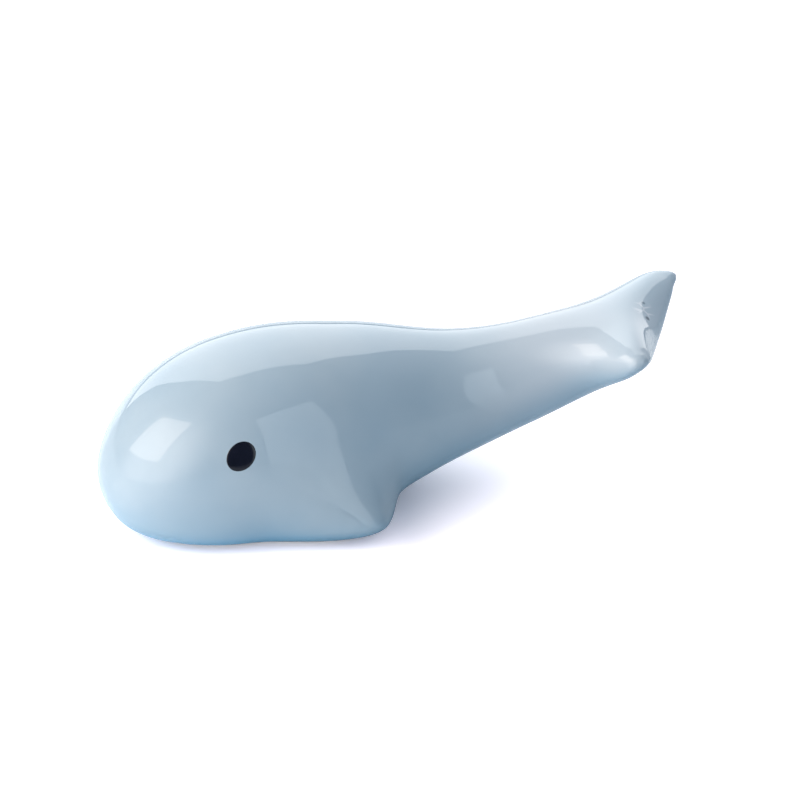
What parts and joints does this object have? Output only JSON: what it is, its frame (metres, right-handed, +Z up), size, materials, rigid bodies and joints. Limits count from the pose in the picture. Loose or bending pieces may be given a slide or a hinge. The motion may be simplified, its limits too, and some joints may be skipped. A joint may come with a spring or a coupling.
{
  "type": "chopstick rest",
  "caption": "Whale-shaped glazed porcelain chopstick rest with a low back between hump and raised flukes, side flippers and dot eyes.",
  "frame": {"origin": "on the table, under the middle of the whole", "axes": "+X from the head to the flukes, +Y to the whale's right-hand side, away from the side that the tail turns to, +Z up from the table"},
  "size_m": [0.0652, 0.0278, 0.0206],
  "materials": {
    "clay": "unglazed fired porcelain, matte",
    "glaze": "pale blue gloss glaze",
    "eye": "black glaze, glossy"
  },
  "bodies": {
    "root": {"clay_body": "clay", "glaze_coat": "glaze", "left_eye": "eye", "right_eye": "eye"}
  },
  "joints": []
}
